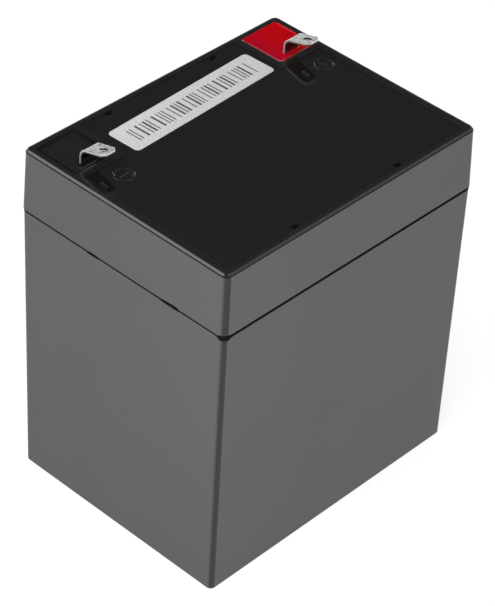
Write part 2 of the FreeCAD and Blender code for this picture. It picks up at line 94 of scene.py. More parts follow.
def place_camera():
    """Adds the camera at the photograph's angle and makes it the scene's own."""
    flat = math.cos(view_elevation)
    back = Vector((math.sin(view_azimuth) * flat, -math.cos(view_azimuth) * flat, math.sin(view_elevation)))
    level_right = Vector((math.cos(view_azimuth), math.sin(view_azimuth), 0.0))
    level_up = back.cross(level_right)
    right = math.cos(view_roll) * level_right + math.sin(view_roll) * level_up
    up = math.cos(view_roll) * level_up - math.sin(view_roll) * level_right
    lens = bpy.data.cameras.new("camera")
    lens.sensor_width = sensor_width
    lens.lens = focal_length_pixels / max(image_width, image_height) * sensor_width
    lens.clip_start = 0.01
    lens.clip_end = 20.0
    camera = bpy.data.objects.new("camera", lens)
    bpy.context.scene.collection.objects.link(camera)
    turn = Matrix((right, up, back)).transposed().to_4x4()
    camera.matrix_world = Matrix.Translation(view_target + back * view_distance) @ turn
    bpy.context.scene.camera = camera
    return camera


camera = place_camera()
print("lens in mm", round(camera.data.lens, 1), "camera at", [round(v, 3) for v in camera.location])

# %% [markdown]
# Wiring a finish.
# A finish in Blender is a tree of nodes, and each input of a node holds a plain value or a link to
# another node. It could be drawn by hand in the shader editor. As calls it can be read from top to
# bottom, so small functions do the wiring: one feeds an input, one adds a node by the names of its
# inputs, one starts a material with an empty tree.

# %% Node helpers


def feed(tree, socket, value):
    """Links a socket to an input, or sets a plain value on it."""
    if isinstance(value, bpy.types.NodeSocket):
        tree.links.new(value, socket)
    else:
        socket.default_value = value


def add_node(tree, kind, **inputs):
    """Adds a shader node and feeds its inputs, which go by socket name."""
    node = tree.nodes.new(kind)
    for name, value in inputs.items():
        feed(tree, node.inputs[name.replace("_", " ")], value)
    return node


def new_material(name):
    """A material with an empty node tree. Returns it with its tree."""
    material = bpy.data.materials.new(name)
    material.use_nodes = True
    tree = material.node_tree
    tree.nodes.clear()
    return material, tree


def grey(value):
    """A neutral colour, as Blender's sockets take it."""
    return (value, value, value, 1.0)


print("a mid grey as an input:", grey(0.5))

# %% [markdown]
# Arithmetic inside a finish.
# What tells a real surface from a flat one is a number that changes over it: how rough, how dark,
# how deep. Such numbers could be painted on an image, but an image has its own sharpness and seams.
# Nodes work them out at every point instead: one step of arithmetic, a stretch onto a range, or a
# mix of two things by a share from 0 to 1.

# %% Arithmetic helpers
noise_low = 0.35
noise_high = 0.65


def calculate(tree, operation, *values):
    """One arithmetic step on numbers or sockets."""
    node = tree.nodes.new("ShaderNodeMath")
    node.operation = operation
    for socket, value in zip(node.inputs, values):
        feed(tree, socket, value)
    return node.outputs[0]


def spread(tree, value, low, high, from_low=noise_low, from_high=noise_high):
    """Stretches a value onto the range from low to high, and cuts off what lies beyond it."""
    node = add_node(tree, "ShaderNodeMapRange", Value=value, From_Min=from_low, From_Max=from_high,
                    To_Min=low, To_Max=high)
    return node.outputs["Result"]


def blend_values(tree, share, first, second):
    """A mix of two numbers or sockets."""
    node = tree.nodes.new("ShaderNodeMix")
    for index, value in ((0, share), (2, first), (3, second)):
        feed(tree, node.inputs[index], value)
    return node.outputs[0]


def blend_colours(tree, share, first, second):
    """A mix of two colours. Each may be a colour or a socket."""
    node = tree.nodes.new("ShaderNodeMix")
    node.data_type = "RGBA"
    for index, value in ((0, share), (6, first), (7, second)):
        feed(tree, node.inputs[index], value)
    return node.outputs[2]


def blend_shaders(tree, share, first, second):
    """A mix of two shaders."""
    node = tree.nodes.new("ShaderNodeMixShader")
    for socket, value in zip(node.inputs, (share, first, second)):
        feed(tree, socket, value)
    return node.outputs[0]


print("most noise lies between", noise_low, "and", noise_high)

# %% [markdown]
# Reading the surface.
# A grain has to stay put on its piece, and a polished round has to be told from a matt side. The
# piece's own coordinates give the place, and the normal gives the way that a face looks. Flattened
# texture coordinates would need seams, while these two need none. Noise sizes are given in metres,
# as one would measure a grain under a loupe.

# %% Surface helpers


def surface_position(tree):
    """Object coordinates, which stay put on the piece and are in metres."""
    return add_node(tree, "ShaderNodeTexCoord").outputs["Object"]


def surface_normal(tree):
    """The direction that the surface faces."""
    return add_node(tree, "ShaderNodeNewGeometry").outputs["Normal"]


def axes(tree, vector):
    """A vector's sockets X, Y and Z."""
    return add_node(tree, "ShaderNodeSeparateXYZ", Vector=vector).outputs


def stretched(tree, position, factors):
    """The position with each axis multiplied by its factor, which draws noise out."""
    node = tree.nodes.new("ShaderNodeVectorMath")
    node.operation = "MULTIPLY"
    feed(tree, node.inputs[0], position)
    feed(tree, node.inputs[1], factors)
    return node.outputs[0]


def noise(tree, position, size, detail=2.0, roughness=0.5):
    """Noise with features of about the given size, from 0 to 1."""
    node = add_node(tree, "ShaderNodeTexNoise", Vector=position, Scale=1.0 / size, Detail=detail,
                    Roughness=roughness)
    return node.outputs["Fac"]


def bump(tree, height, depth, strength=1.0, under=None):
    """A bump of the given depth in metres, over another bump where one is given."""
    node = add_node(tree, "ShaderNodeBump", Height=height, Distance=depth, Strength=strength)
    if under is not None:
        feed(tree, node.inputs["Normal"], under)
    return node.outputs["Normal"]


def finish_surface(tree, **inputs):
    """The surface shader and the output, once its inputs are known."""
    shader = add_node(tree, "ShaderNodeBsdfPrincipled", **inputs)
    add_node(tree, "ShaderNodeOutputMaterial", Surface=shader.outputs[0])


print("noise scale for a grain of 1 mm:", round(1 / mm))

# %% [markdown]
# The floor.
# The battery stands on white paper that the picture shows as plain white, with hardly a shadow. A
# bright lamp could burn it out, but would wash out the battery too. So what is seen of the floor is
# mostly the backdrop's plain white with a share of lit paint near the battery, where the shadow
# falls, and the paint that throws light up onto the sides is darker: the sides grow darker towards
# the floor.

# %% Floor
floor_size = 6.0
floor_colour = 0.29
seen_floor_colour = 0.97
floor_paint_share = 0.25
shadow_fade = (0.25, 0.6)

scene = bpy.context.scene
scene.view_settings.view_transform = "Standard"


def seen_share(tree):
    """1 for rays that show the backdrop: straight to the camera, mirrored or refracted."""
    path = add_node(tree, "ShaderNodeLightPath").outputs
    shown = calculate(tree, "MAXIMUM", path["Is Camera Ray"], path["Is Glossy Ray"])
    return calculate(tree, "MAXIMUM", shown, path["Is Transmission Ray"])


def floor_paint():
    """White paint. Where it is seen, most of it shows as plain white, and all of it far away."""
    material, tree = new_material("floor_paint")
    paint = add_node(tree, "ShaderNodeBsdfDiffuse", Color=grey(floor_colour))
    lit_paint = add_node(tree, "ShaderNodeBsdfDiffuse", Color=grey(seen_floor_colour))
    backdrop = add_node(tree, "ShaderNodeEmission", Color=grey(1.0), Strength=1.0)
    away = tree.nodes.new("ShaderNodeVectorMath")
    away.operation = "LENGTH"
    feed(tree, away.inputs[0], surface_position(tree))
    lit_share = spread(tree, away.outputs["Value"], floor_paint_share, 0.0, *shadow_fade)
    seen = blend_shaders(tree, lit_share, backdrop.outputs[0], lit_paint.outputs[0])
    both = blend_shaders(tree, seen_share(tree), paint.outputs[0], seen)
    add_node(tree, "ShaderNodeOutputMaterial", Surface=both)
    return material


def level_sheet(name, size, height, material, shift=0.0):
    """A square sheet of the studio at the given height, shifted along +Y."""
    half = size / 2
    mesh = bpy.data.meshes.new(name)
    mesh.from_pydata([(-half, shift - half, height), (half, shift - half, height),
                      (half, shift + half, height), (-half, shift + half, height)], [], [(0, 1, 2, 3)])
    mesh.materials.append(material)
    sheet = bpy.data.objects.new(name, mesh)
    scene.collection.objects.link(sheet)
    return sheet


level_sheet("floor", floor_size, 0.0, floor_paint())
print("floor", floor_size, "m wide")

# %% [markdown]
# The dark ceiling cloth.
# A glossy black plate mirrors whatever hangs above the far side of it. A world that was dim
# overhead would only fake that, so a dark cloth hangs there, as a studio keeps black plastic
# black. It is hidden from the camera alone, and still mirrored and still in the light's way.

# %% Ceiling
ceiling_size = 4.4
ceiling_height = 1.15
ceiling_shift = 1.9
ceiling_colour = 0.385


def ceiling_cloth():
    """Cloth that only scatters light."""
    material, tree = new_material("ceiling_cloth")
    cloth = add_node(tree, "ShaderNodeBsdfDiffuse", Color=grey(ceiling_colour))
    add_node(tree, "ShaderNodeOutputMaterial", Surface=cloth.outputs[0])
    return material


ceiling = level_sheet("ceiling", ceiling_size, ceiling_height, ceiling_cloth(), ceiling_shift)
ceiling.visible_camera = False
print("ceiling cloth", ceiling_size, "m wide at", ceiling_height, "m")

# %% [markdown]
# The white walls.
# The world round the floor stands for the studio's white walls. Four more planes could be walls,
# but the world has no corners that a polished plate would mirror. It is plain white wherever it is
# seen, and a little weaker as a light on the battery, so that the soft lights shape the sides.

# %% Walls
wall_light = 0.7


def white_walls():
    """The world: strength 1 where it is seen or mirrored, and wall_light on the battery."""
    world = bpy.data.worlds.new("studio")
    world.use_nodes = True
    tree = world.node_tree
    tree.nodes.clear()
    strength = blend_values(tree, seen_share(tree), wall_light, 1.0)
    light = add_node(tree, "ShaderNodeBackground", Color=grey(1.0), Strength=strength)
    add_node(tree, "ShaderNodeOutputWorld", Surface=light.outputs[0])
    return world


scene.world = white_walls()
print("walls light the battery at", wall_light)

# %% [markdown]
# Five soft lights.
# A photographer lights plastic with softboxes: square area lights, large and near, whose shadows
# have no edge. One hangs high at the back left, and the bevel of the rim mirrors it as a bright
# strip along the left edge. One stands low at the front right for the long side. A small one close
# to the front corner makes both sides brightest near it. It gives light but no reflection, or the
# black top would mirror it to whoever looks from behind. Two low ones behind the battery keep the
# far sides as light as the near ones.

# %% Soft lights
softboxes = {
    "softbox_back_left": {"toward": (-0.45, 0.50, 0.74), "reach": 0.9, "size": 0.8, "watts": 7.4},
    "softbox_front_right": {"toward": (0.37, -0.89, 0.26), "reach": 1.2, "size": 0.6, "watts": 6.1},
    "softbox_right": {"toward": (0.93, 0.30, 0.16), "reach": 1.2, "size": 0.5, "watts": 4.8},
    "softbox_back": {"toward": (0.18, 0.97, 0.16), "reach": 1.2, "size": 0.5, "watts": 4.4},
    "softbox_corner": {"toward": (-0.76, -0.49, 0.48), "reach": 0.31, "size": 0.27, "watts": 1.3,
                       "mirrored": False},
}
aim_point = Vector((0.0, 0.0, 0.05))


def hang_softbox(name, toward, reach, size, watts, mirrored=True):
    """A square area light that faces the battery. Where it isn't mirrored, it only lights."""
    light = bpy.data.lights.new(name, "AREA")
    light.shape = "SQUARE"
    light.size = size
    light.energy = watts
    lamp = bpy.data.objects.new(name, light)
    scene.collection.objects.link(lamp)
    direction = Vector(toward).normalized()
    lamp.location = aim_point + direction * reach
    lamp.rotation_mode = "QUATERNION"
    lamp.rotation_quaternion = direction.to_track_quat("Z", "Y")
    lamp.visible_glossy = mirrored


for name, values in softboxes.items():
    hang_softbox(name, **values)
print("softboxes", len(softboxes), "watts in all", round(sum(box["watts"] for box in softboxes.values()), 1))

# %% [markdown]
# Pieces that ride on the battery.
# A piece made here has to move with the battery and has to take a finish. It could be joined to
# the solid that it lies on, but then that solid's mesh would change. As an object of its own it is
# hung on the body that it rides on, takes a finish, and hides the solid that it stands for, if any.
# Smooth shading with hard corners is common to most of them.

# %% Pieces
root_body = "root"
sharp_angle = math.radians(28)


def link_piece(name, mesh, material, replaced=()):
    """Adds a piece to the battery: it rides on the body, takes its finish and hides the solids it replaces.
    """
    piece = bpy.data.objects.new(name, mesh)
    scene.collection.objects.link(piece)
    mesh.materials.clear()
    mesh.materials.append(material)
    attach(piece, root_body)
    if replaced:
        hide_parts(*replaced)
    return piece


def keep_mesh(work, name):
    """Turns a mesh in the making into one that Blender keeps."""
    mesh = bpy.data.meshes.new(name)
    work.to_mesh(mesh)
    work.free()
    return mesh


def shade_by_angle(mesh):
    """Smooth shading, with a hard line only where faces meet at a real corner."""
    mesh.shade_smooth()
    mesh.set_sharp_from_angle(angle=sharp_angle)


print("a corner is hard from", round(math.degrees(sharp_angle)), "degrees on")

# %% [markdown]
# Softened copies of the moulded and pressed pieces.
# The solids have knife edges, and no real edge is that sharp: a moulded one is rounded by a tenth
# of a millimetre or so, and that thin round is what catches the light. The shader can fake a round
# with a bevel node, but only for its highlights. Real geometry also rounds the outline, so a copy
# of the solid's mesh is welded, its flat areas are merged into single faces, and a bevel modifier
# rounds what is left of the edges. The copy then stands for the solid.

# %% Softened copies
weld_distance = 0.0005 * mm
flat_angle = math.radians(0.6)
round_segments = 3


def welded_mesh(node_name):
    """The solid's mesh with its points welded and its flat areas merged."""
    work = bmesh.new()
    work.from_mesh(nodes[node_name].data)
    bmesh.ops.remove_doubles(work, verts=work.verts, dist=weld_distance)
    bmesh.ops.dissolve_limit(work, angle_limit=flat_angle, verts=work.verts, edges=work.edges)
    mesh = keep_mesh(work, node_name)
    if "custom_normal" in mesh.attributes:
        mesh.attributes.remove(mesh.attributes["custom_normal"])
    return mesh


def softened_copy(node_name, piece_name, radius, material):
    """A copy of the solid with its edges rounded, which stands for the solid."""
    mesh = welded_mesh(node_name)
    shade_by_angle(mesh)
    piece = link_piece(piece_name, mesh, material, [node_name])
    rounding = piece.modifiers.new("edge_rounding", "BEVEL")
    rounding.width = radius
    rounding.segments = round_segments
    rounding.limit_method = "ANGLE"
    rounding.angle_limit = sharp_angle
    rounding.use_clamp_overlap = False
    rounding.harden_normals = True
    bpy.context.view_layer.update()
    seen = piece.evaluated_get(bpy.context.evaluated_depsgraph_get())
    final = bpy.data.meshes.new_from_object(seen)
    piece.modifiers.clear()
    piece.data = final
    print(piece_name, "faces", len(final.polygons), "from", len(nodes[node_name].data.polygons))


print("rounds have", round_segments, "segments")

# %% [markdown]
# Telling the case's surfaces apart.
# The mould's side panels are spark eroded, which leaves a fine matt grain, and they are painted mid
# grey, a painted light. The rounded upright corners, the bevel of the rim and everything that looks
# up are polished, with sharp reflections, and painted black, a painted shade; on the upright
# corners that dark band fades softly into the end panels and ends sharply at the side panels. Inside
# the wells and grooves little light comes back at all. Faces could be picked one by one for each
# finish, but the way that a face looks and where it lies already tell them apart, and go on doing
# so when the shape changes.

# %% Case surfaces
# The painted corner shade fades softly into the end panels and ends sharply at the side panels.
soft_corner_shade_edge = (0.80, 0.99)
sharp_corner_shade_edge = (0.990, 0.9965)
straight_up = 0.985
outside_reach = 1.25 * mm


def lit_panel_share(tree):
    """1 on the flat upright panels, where light is painted, 0 on rounds, bevels and faces that look up or
    down, where shade is painted.
    """
    normal = axes(tree, surface_normal(tree))
    end_panel = spread(tree, calculate(tree, "ABSOLUTE", normal["X"]), 0.0, 1.0, *soft_corner_shade_edge)
    side_panel = spread(tree, calculate(tree, "ABSOLUTE", normal["Y"]), 0.0, 1.0, *sharp_corner_shade_edge)
    return calculate(tree, "MAXIMUM", end_panel, side_panel)


def looks_up(tree):
    """1 on faces that look straight up, 0 on walls and edges."""
    return calculate(tree, "GREATER_THAN", axes(tree, surface_normal(tree))["Z"], straight_up)


def outer_share(tree, position):
    """1 on the block's outside with its rim, 0 in the wells, the cells and beside the cover."""
    place = axes(tree, position)
    beyond_x = calculate(tree, "SUBTRACT", calculate(tree, "ABSOLUTE", place["X"]), cad_high.x)
    beyond_y = calculate(tree, "SUBTRACT", calculate(tree, "ABSOLUTE", place["Y"]), cad_high.y)
    nearest = calculate(tree, "MAXIMUM", beyond_x, beyond_y)
    return calculate(tree, "GREATER_THAN", nearest, -outside_reach)


def below(tree, position, level):
    """1 below a level, 0 above it."""
    return calculate(tree, "LESS_THAN", axes(tree, position)["Z"], level)


def edge_gloss(tree, polished):
    """Specular level: 0.5 where polished is 1, and none on inner walls and cut edges."""
    return spread(tree, polished, 0.0, 0.5, 0.0, 1.0)


print("outside of the case: the outer", round(outside_reach / mm, 2), "mm")

# %% [markdown]
# Case plastic. The container and the lid are moulded from one black plastic.
# Its colour hardly varies, yet it is given two tones: mid grey on the panels, a painted light, and
# black elsewhere, a painted shade, with matt and polished finishes to go with them. Two materials
# could meet at an edge, but that needs the mesh cut there, and a share read from the normal needs no
# cut. A slow drift of the grey, a haze in the polish and a grain of a tenth of a millimetre keep
# either from looking flat.

# %% Case plastic
# The panels' grey is painted light, and the black of rounds, bevels and tops is painted shade, on one
# plastic.
lit_panel_colour = 0.057
panel_drift = 0.06
panel_gloss = 0.2
panel_roughness = (0.38, 0.46)
shaded_polished_colour = 0.006
polished_roughness = (0.12, 0.18)
dull_wall_colour = 0.0115
round_gloss = 0.8
grain_depth = 0.003 * mm
groove_low_z = cad_lid_top - 0.75 * mm
groove_high_z = cad_lid_top - 0.41 * mm


def drifting_grey(tree, share, middle, drift):
    """A grey that drifts to either side of its middle value, by a fraction of it."""
    return blend_colours(tree, share, grey(middle * (1 - drift)), grey(middle * (1 + drift)))


def case_plastic():
    """Black plastic: matt and painted lit grey on the side panels, polished and painted shaded black on
    rounds, bevels and what looks up.
    """
    material, tree = new_material("case_plastic")
    position = surface_position(tree)
    outer = outer_share(tree, position)
    upward = looks_up(tree)
    below_groove = below(tree, position, groove_low_z)
    in_groove = calculate(tree, "SUBTRACT", below(tree, position, groove_high_z), below_groove)
    lit_matt_panel = calculate(tree, "MULTIPLY", lit_panel_share(tree), outer)
    lit_matt_panel = calculate(tree, "MULTIPLY", lit_matt_panel, below_groove)

    upright_gloss = blend_values(tree, below_groove, 1.0, round_gloss)
    rounds = calculate(tree, "MULTIPLY", calculate(tree, "SUBTRACT", outer, in_groove), upright_gloss)
    shiny = calculate(tree, "MAXIMUM", rounds, upward)
    gloss = blend_values(tree, lit_matt_panel, edge_gloss(tree, shiny), panel_gloss)

    drift = noise(tree, position, 16 * mm, 3.0)
    # Painted light in the panels' grey, painted shade in the black of the rest.
    side = drifting_grey(tree, drift, lit_panel_colour, panel_drift)
    dull_wall = calculate(tree, "SUBTRACT", 1.0, calculate(tree, "MAXIMUM", outer, upward))
    black = blend_colours(tree, dull_wall, grey(shaded_polished_colour), grey(dull_wall_colour))

    grain = noise(tree, position, 0.12 * mm, 2.0)
    haze = noise(tree, position, 5 * mm, 4.0)
    matt = spread(tree, grain, *panel_roughness)
    polish = spread(tree, haze, *polished_roughness)
    relief = calculate(tree, "MULTIPLY", grain, lit_matt_panel)
    finish_surface(tree, Base_Color=blend_colours(tree, lit_matt_panel, black, side),
                   Roughness=blend_values(tree, lit_matt_panel, polish, matt),
                   Specular_IOR_Level=gloss, Normal=bump(tree, relief, grain_depth))
    return material


case_finish = case_plastic()
softened_copy("container", "container_moulding", 0.12 * mm, case_finish)
softened_copy("lid", "lid_moulding", 0.08 * mm, case_finish)

# %% [markdown]
# Vent cover.
# It is a separate plate of polished black plastic, glued into the lid over the vents, and the
# pole marks are moulded on it. Its face is the blackest and smoothest of the block and mirrors the
# tabs. One flat colour and gloss would do that, but a pressed plate is never optically flat: waves
# a few micrometres deep and a faint haze bend the mirror image. The cut edge all round is dull,
# and the edges of the raised marks are half dull, so that they show as thin lines.

# %% Vent cover plastic
cover_colour = 0.005
cover_drift = 0.1
cover_roughness = (0.07, 0.12)
cover_wave_depth = 0.006 * mm
mark_edge_dulling = 0.6
cover_top_z = cad_lid_top - 0.2 * mm
level_margin = 0.01 * mm


def cover_plastic():
    """Polished black plastic with shallow waves and dull edges."""
    material, tree = new_material("cover_plastic")
    position = surface_position(tree)
    drift = noise(tree, position, 12 * mm, 3.0)
    haze = noise(tree, position, 3 * mm, 4.0)
    waves = noise(tree, position, 9 * mm, 1.0)
    steep = calculate(tree, "SUBTRACT", 1.0, looks_up(tree))
    under_marks = below(tree, position, cover_top_z + level_margin)
    dulled = calculate(tree, "MULTIPLY", steep, blend_values(tree, under_marks, mark_edge_dulling, 1.0))
    face = drifting_grey(tree, drift, cover_colour, cover_drift)
    finish_surface(tree, Base_Color=blend_colours(tree, dulled, face, grey(dull_wall_colour)),
                   Roughness=spread(tree, haze, *cover_roughness),
                   Specular_IOR_Level=edge_gloss(tree, calculate(tree, "SUBTRACT", 1.0, dulled)),
                   Normal=bump(tree, waves, cover_wave_depth, 0.5))
    return material


softened_copy("vent_cover", "vent_cover_plate", 0.09 * mm, cover_plastic())

# %% [markdown]
# Resins. Epoxy is mixed with a pigment and poured round the tabs, red at the positive one.
# It sets with a glossy, slightly wavy skin. Black pigment swallows what enters, so the black well
# hardly stands out from the lid, while the red one is deep. Its colour drifts at random, and along X
# from a darker, pinker red towards a brighter one, a painted tint of the light. Light really wanders
# about in it, but under so dense a pigment that can't be told from a plain coloured skin, which
# renders without noise. Where the skin turns up a wall it picks up dust and is duller. A third, dull
# black resin fills the seam.

# %% Resins
resin_wave_depth = 0.02 * mm
flat_skin = (0.985, 0.998)
# The red's drift along X is a painted tint of light, from darker and pinker to brighter.
red_and_painted_tint_colours = ((0.27, 0.0003, 0.011, 1.0), (0.33, 0.0002, 0.001, 1.0))
black_colours = (grey(0.006), grey(0.005))
red_painted_tint_run = (30 * mm, 37 * mm)


def poured_resin(name, colours, flat_gloss, steep_gloss, roughness=0.1):
    """Cast resin that drifts between two colours at random and along X, where it is a painted tint of light.
    Its gloss may differ on steep skin.
    """
    material, tree = new_material(name)
    position = surface_position(tree)
    drift = noise(tree, position, 4 * mm, 3.0)
    # The share along X paints a tint of light onto the red.
    towards = spread(tree, axes(tree, position)["X"], 0.0, 0.8, *red_painted_tint_run)
    share = calculate(tree, "ADD", towards, spread(tree, drift, -0.15, 0.25))
    waves = noise(tree, position, 2.5 * mm, 1.0)
    gloss = flat_gloss
    if steep_gloss != flat_gloss:
        gloss = spread(tree, axes(tree, surface_normal(tree))["Z"], steep_gloss, flat_gloss, *flat_skin)
    finish_surface(tree, Base_Color=blend_colours(tree, share, *colours), Roughness=roughness,
                   Specular_IOR_Level=gloss, Normal=bump(tree, waves, resin_wave_depth, 0.5))
    return material


def dress(names, material):
    """Puts one material on the CAD nodes named."""
    for name in names:
        nodes[name].data.materials.clear()
        nodes[name].data.materials.append(material)


black_resin = poured_resin("black_resin", black_colours, 0.5, 0.0)
seam_resin = poured_resin("seam_resin", black_colours, 0.0, 0.0, 0.5)
red_resin = poured_resin("red_resin", red_and_painted_tint_colours, 0.11, 0.11)
dress(["seam_epoxy"], seam_resin)
dress(["negative_fill"], black_resin)
dress(["positive_fill"], red_resin)
print("resins: glossy black, dull black, red")

# %% [markdown]
# Bands of quads.
# The climbing film and the seam are both narrow bands that run round something. A curve with a
# bevel could draw them, but its section can't change shape on the way. So each band is built from
# closed loops of points, one for each line along it, and quads join each loop to the next.

# %% Bands
corner_segments = 8
smallest_corner = 0.01 * mm


def rounded_loop(low, high, radius):
    """Points of a rectangle from low to high with round corners, counterclockwise."""
    points = []
    radius = max(radius, smallest_corner)
    centres = [(high[0] - radius, high[1] - radius), (low[0] + radius, high[1] - radius),
               (low[0] + radius, low[1] + radius), (high[0] - radius, low[1] + radius)]
    for quarter, (x, y) in enumerate(centres):
        for step in range(corner_segments + 1):
            angle = (quarter + step / corner_segments) * math.pi / 2
            points.append((x + radius * math.cos(angle), y + radius * math.sin(angle)))
    return points


def band(name, loops):
    """A closed mesh of quads from each loop to the next, and from the last to the first."""
    count = len(loops[0])
    points = [point for loop in loops for point in loop]
    faces = []
    for ring in range(len(loops)):
        after = (ring + 1) % len(loops)
        for i in range(count):
            j = (i + 1) % count
            faces.append((ring * count + i, ring * count + j, after * count + j, after * count + i))
    mesh = bpy.data.meshes.new(name)
    mesh.from_pydata(points, [], faces)
    work = bmesh.new()
    work.from_mesh(mesh)
    bmesh.ops.recalc_face_normals(work, faces=work.faces)
    work.to_mesh(mesh)
    work.free()
    shade_by_angle(mesh)
    return mesh


print("points round a corner", corner_segments + 1)

# %% [markdown]
# Resin film on the well walls.
# The resin wets the plastic and the tab while it is liquid, and climbs a few tenths of a
# millimetre before it sets. A fluid simulation would give that rim after minutes of work, and its
# result is known: loops that follow the wall at growing distance, each lower than the last by an
# exponential fall. The same function runs round the leg of the tab, outward instead of inward.

# %% Resin film
film_steps = [d * mm for d in (0.0, 0.1, 0.22, 0.4, 0.65, 1.0, 1.5, 2.2)]
film_depth = 0.02 * mm
well_corner = 0.8 * mm
wall_film = {"climb": 0.45 * mm, "fall": 0.55 * mm, "outward": False}
leg_film = {"climb": 0.25 * mm, "fall": 0.4 * mm, "outward": True}
clear_of_resin = 0.5 * mm
slice_height = 0.05 * mm


def film_loops(low, high, corner, level, climb, fall, outward):
    """Loops of a film that climbs a wall round the rectangle from low to high."""
    sign = 1 if outward else -1
    rest = math.exp(-film_steps[-1] / fall)
    heights = [(distance, level + climb * (math.exp(-distance / fall) - rest)) for distance in film_steps]
    heights += [(film_steps[-1], level - film_depth), (0.0, level - film_depth)]
    loops = []
    for distance, height in heights:
        grow = sign * distance
        plan_low = (low[0] - grow, low[1] - grow)
        plan_high = (high[0] + grow, high[1] + grow)
        plan = rounded_loop(plan_low, plan_high, corner + distance)
        loops.append([(x, y, height) for x, y in plan])
    return loops


def leg_section(pole, level):
    """Plan box of the tab's leg where it leaves the resin, measured on the solid."""
    above = [v.co for v in nodes[f"{pole}_tab"].data.vertices if v.co.z > level + clear_of_resin]
    lowest = min(co.z for co in above)
    start = [co for co in above if co.z < lowest + slice_height]
    low = (min(co.x for co in start), min(co.y for co in start))
    high = (max(co.x for co in start), max(co.y for co in start))
    return low, high


def pour_film(pole, material):
    """The film on one well's walls and the one round its tab's leg."""
    low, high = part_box(f"{pole}_fill")
    wall = film_loops(low, high, well_corner, high.z, **wall_film)
    link_piece(f"{pole}_fill_wall_film", band("wall_film", wall), material)
    leg_low, leg_high = leg_section(pole, high.z)
    collar = film_loops(leg_low, leg_high, 0.0, high.z, **leg_film)
    link_piece(f"{pole}_fill_leg_film", band("leg_film", collar), material)
    print(pole, "leg section in mm", [round(v / mm, 2) for v in (*leg_low, *leg_high)])


pour_film("positive", red_resin)
pour_film("negative", black_resin)

# %% [markdown]
# The line of the seam.
# The lid is bedded in black resin, and what shows is the narrow band between lid and container. Its
# plan is the block's outline at the lid's lower edge. The edge could be picked from the mesh, but
# its points lie unevenly, so the outline is drawn again with many even ones, and each carries the
# direction that is outward there.

# %% Seam outline
seam_points_per_side = 160
seam_height = 0.7 * mm
corner_radius = 1.8 * mm
skirt_margin = 0.01 * mm


def lid_bottom_level():
    """Underside of the lid's outer lip, the lowest level on its outer skirt."""
    return min(v.co.z for v in nodes["lid"].data.vertices if abs(v.co.x) > cad_high.x - skirt_margin)


def quarter_direction(turns):
    """The direction after so many quarter turns from +X."""
    return math.cos(turns * math.pi / 2), math.sin(turns * math.pi / 2)


def block_outline():
    """Points of the lid's outline at the seam with their outward normals."""
    spots = []
    corners = [(1, 1), (-1, 1), (-1, -1), (1, -1)]
    centres = [(sx * (cad_high.x - corner_radius), sy * (cad_high.y - corner_radius)) for sx, sy in corners]
    for quarter, (x, y) in enumerate(centres):
        for step in range(2 * corner_segments + 1):
            normal = quarter_direction(quarter + step / (2 * corner_segments))
            spots.append(((x + corner_radius * normal[0], y + corner_radius * normal[1]), normal))
        start = spots[-1][0]
        next_x, next_y = centres[(quarter + 1) % 4]
        normal = quarter_direction(quarter + 1)
        finish = (next_x + corner_radius * normal[0], next_y + corner_radius * normal[1])
        for step in range(1, seam_points_per_side):
            share = step / seam_points_per_side
            spots.append(((start[0] + (finish[0] - start[0]) * share,
                           start[1] + (finish[1] - start[1]) * share), normal))
    return spots


lid_low_z = lid_bottom_level()
seam_low_z = lid_low_z - seam_height
seam_spots = block_outline()
print("seam from z", round(seam_low_z / mm, 2), "to", round(lid_low_z / mm, 2), "mm, points", len(seam_spots))

# %% [markdown]
# How the resin lies in the seam.
# The resin that was pressed out stands almost flush on the long sides, lies deep on the short ones,
# bulges at the near corner and smears up the lid in two places. Each could be a mesh of its own,
# and would show a joint where it starts. So one function tells depth and height for any place, and
# the bulge and the smears come in over soft steps.

# %% Lie of the resin
seam_long_side_depth = 0.0
seam_short_side_depth = 0.34 * mm
ripple_depth = 0.02 * mm
sag = 0.22 * mm
sag_ripple = 0.04 * mm
smears = ((-20.4 * mm, -11.5 * mm, 0.42 * mm), (7.0 * mm, 12.5 * mm, 0.22 * mm))
short_side = -0.99
smear_rise_run = 0.8 * mm
smear_fall_start = 2.0 * mm
smear_proud = 0.03 * mm
bead_full = 0.9 * mm
bead_reach = 2.7 * mm
bead_rise = 0.40 * mm
bead_drop = 0.40 * mm
bead_proud = 0.05 * mm


def smooth_step(value, low, high):
    """0 below low, 1 above high, and a soft slope between them."""
    share = min(max((value - low) / (high - low), 0.0), 1.0)
    return share * share * (3 - 2 * share)


def ripple_at(x, y):
    """A slow swell with a finer one on it, the same every run."""
    return math.sin(x * 900 + 1.3) * math.sin(y * 1100 + 0.4) + 0.5 * math.sin(x * 2600 + y * 2300)


def seam_shape(place, normal):
    """Depth under the outline, and the band's low and high level there."""
    x, y = place
    turned = abs(normal[0]) / (abs(normal[0]) + abs(normal[1]))
    ripple = ripple_at(x, y)
    depth = seam_long_side_depth + (seam_short_side_depth - seam_long_side_depth) * turned
    depth += ripple_depth * ripple
    low = seam_low_z - (sag + sag_ripple * ripple) * (1 - turned)
    high = lid_low_z
    inset = corner_radius * (1 - math.sqrt(0.5))
    from_corner = math.hypot(x + cad_high.x - inset, y + cad_high.y - inset)
    bead = 1 - smooth_step(from_corner, bead_full, bead_reach)
    depth += (-bead_proud - depth) * bead
    low -= bead_drop * bead
    high += bead_rise * bead
    if normal[0] < short_side:
        for start_y, end_y, rise in smears:
            smear = smooth_step(y, start_y, start_y + smear_rise_run)
            smear *= 1 - smooth_step(y, start_y + smear_fall_start, end_y)
            depth += (-smear_proud - depth) * min(1.0, 3 * smear)
            high += rise * smear
    return depth, low, high


depths = [seam_shape(place, normal)[0] / mm for place, normal in seam_spots]
print("resin lies from", round(min(depths), 2), "to", round(max(depths), 2), "mm deep")

